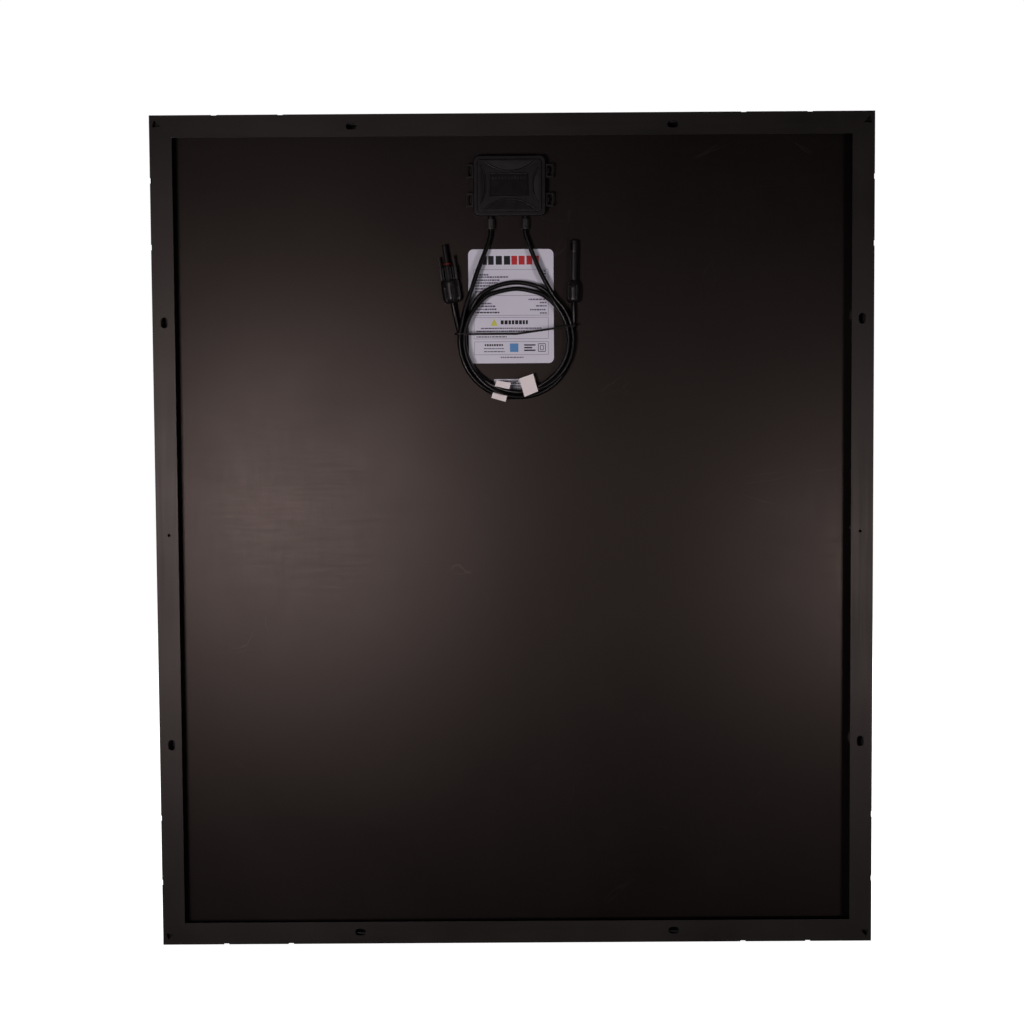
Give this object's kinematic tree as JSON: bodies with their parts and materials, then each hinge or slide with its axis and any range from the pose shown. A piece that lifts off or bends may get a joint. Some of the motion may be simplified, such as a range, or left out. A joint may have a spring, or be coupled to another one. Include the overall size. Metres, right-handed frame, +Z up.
{
  "type": "solar panel",
  "caption": "Framed photovoltaic panel with a mitred black frame, black backsheet, clip-lid junction box, two coiled leads and a pair of plug connectors.",
  "frame": {"origin": "middle of the bottom edge, half way through the frame's depth", "axes": "+Z up along the long side, -Y out of the rear face, +Y out of the glass, +X to the right seen from behind"},
  "size_m": [0.94, 0.035, 1.09],
  "materials": {
    "frame": "black anodised, satin, faint extrusion lines",
    "corner_key": "mill finish",
    "edge_tape": "matt black foam tape",
    "front_glass": "clear tempered, low iron",
    "encapsulant": "clear film",
    "solar_cell": "near black silicon with thin silver fingers",
    "bus_ribbon": "tinned copper",
    "backsheet": "satin black film with faint streaks and scratches",
    "box_plastic": "satin black, fine moulded texture",
    "gasket_rubber": "soft black",
    "silicone": "black silicone adhesive",
    "terminal": "tinned copper",
    "diode_body": "moulded black with a pale band",
    "cable_jacket": "satin black, slightly shiny",
    "connector_plastic": "satin black, ribbed",
    "contact": "tin plated",
    "seal_ring": "red silicone",
    "tie_plastic": "shiny black band",
    "label_film": null,
    "flag_paper": "plain white sticker"
  },
  "bodies": {
    "panel": {"backsheet": "backsheet", "barrel_connector_body": "connector_plastic", "barrel_connector_pin": "contact", "barrel_connector_seal": "gasket_rubber", "box_adhesive": "silicone", "bus_ribbon_bottom": "bus_ribbon", "bus_ribbon_top": "bus_ribbon", "bypass_diode_left": "diode_body", "bypass_diode_right": "diode_body", "cable_coil": "cable_jacket", "cable_end_left": "cable_jacket", "cable_end_right": "cable_jacket", "cable_flag_left": "flag_paper", "cable_flag_right": "flag_paper", "cable_left_lead": "cable_jacket", "cable_left_tail": "cable_jacket", "cable_right_lead": "cable_jacket", "cable_right_tail": "cable_jacket", "cable_tie": "tie_plastic", "cell_string_1": "solar_cell", "cell_string_2": "solar_cell", "cell_string_3": "solar_cell", "cell_string_4": "solar_cell", "cell_string_5": "solar_cell", "corner_key_bottom_left": "corner_key", "corner_key_bottom_right": "corner_key", "corner_key_top_left": "corner_key", "corner_key_top_right": "corner_key", "edge_tape_bottom": "edge_tape", "edge_tape_left": "edge_tape", "edge_tape_right": "edge_tape", "edge_tape_top": "edge_tape", "frame_rail_bottom": "frame", "frame_rail_left": "frame", "frame_rail_right": "frame", "frame_rail_top": "frame", "front_encapsulant": "encapsulant", "front_glass": "front_glass", "gland_seal_left": "gasket_rubber", "gland_seal_right": "gasket_rubber", "junction_box_base": "box_plastic", "lead_ribbon_left": "bus_ribbon", "lead_ribbon_middle": "bus_ribbon", "lead_ribbon_right": "bus_ribbon", "probe_connector_body": "connector_plastic", "probe_connector_ring": "seal_ring", "probe_connector_seal": "gasket_rubber", "probe_connector_socket": "contact", "rating_label": "label_film", "rear_encapsulant": "encapsulant", "serial_label": "label_film", "terminal_left": "terminal", "terminal_middle": "terminal", "terminal_right": "terminal"},
    "lid": {"junction_box_lid": "box_plastic", "lid_gasket": "gasket_rubber"},
    "gland_nut_left": {"gland_nut_left": "box_plastic"},
    "gland_nut_right": {"gland_nut_right": "box_plastic"},
    "probe_nut": {"probe_connector_nut": "connector_plastic"},
    "barrel_nut": {"barrel_connector_nut": "connector_plastic"}
  },
  "joints": [
    {"name": "lid_lift", "type": "slide", "parent": "panel", "child": "lid", "axis": [0, -1, 0], "range_m": [0, 0.04]},
    {"name": "gland_nut_left_turn", "type": "hinge", "parent": "panel", "child": "gland_nut_left", "pos_m": [-0.0287, 0.002, 0.95], "axis": [0, 0, -1], "range_deg": [0, 990]},
    {"name": "gland_nut_right_turn", "type": "hinge", "parent": "panel", "child": "gland_nut_right", "pos_m": [0.0167, 0.002, 0.95], "axis": [0, 0, -1], "range_deg": [0, 990]},
    {"name": "probe_nut_turn", "type": "hinge", "parent": "panel", "child": "probe_nut", "pos_m": [-0.0788, -0.0018, 0.8466], "axis": [0.1419, 0, -0.9899], "range_deg": [0, 990]},
    {"name": "barrel_nut_turn", "type": "hinge", "parent": "panel", "child": "barrel_nut", "pos_m": [0.0794, 0.0009, 0.8464], "axis": [-0.0157, 0, -0.9999], "range_deg": [0, 990]}
  ]
}
